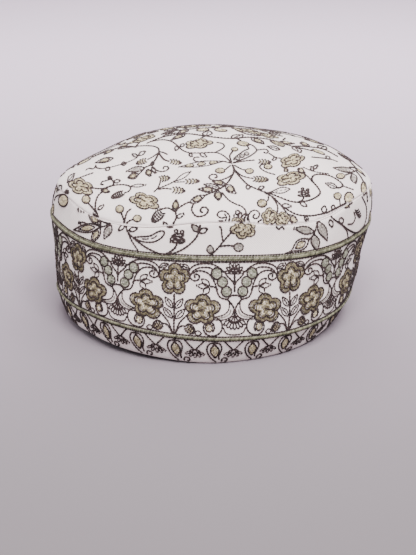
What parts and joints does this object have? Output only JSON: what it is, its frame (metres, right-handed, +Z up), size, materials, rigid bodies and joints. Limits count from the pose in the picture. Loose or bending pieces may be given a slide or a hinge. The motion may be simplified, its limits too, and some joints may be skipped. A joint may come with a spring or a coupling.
{
  "type": "embroidered round cap",
  "caption": "Soft round cotton cap with an upright side band, a low domed crown and floral chain-stitch embroidery.",
  "frame": {"origin": "on the resting plane of the hem, under the centre of the cap's bounding box", "axes": "+Z up out of the crown, the front faces -Y, +X to the right of someone looking at the front"},
  "size_m": [0.1777, 0.1896, 0.1028],
  "materials": {
    "side_band_cotton": "matte cotton twill with chain-stitch embroidery",
    "crown_cotton": "matte cotton twill with chain-stitch embroidery"
  },
  "bodies": {
    "root": {"side_band": "side_band_cotton", "crown": "crown_cotton"}
  },
  "joints": []
}
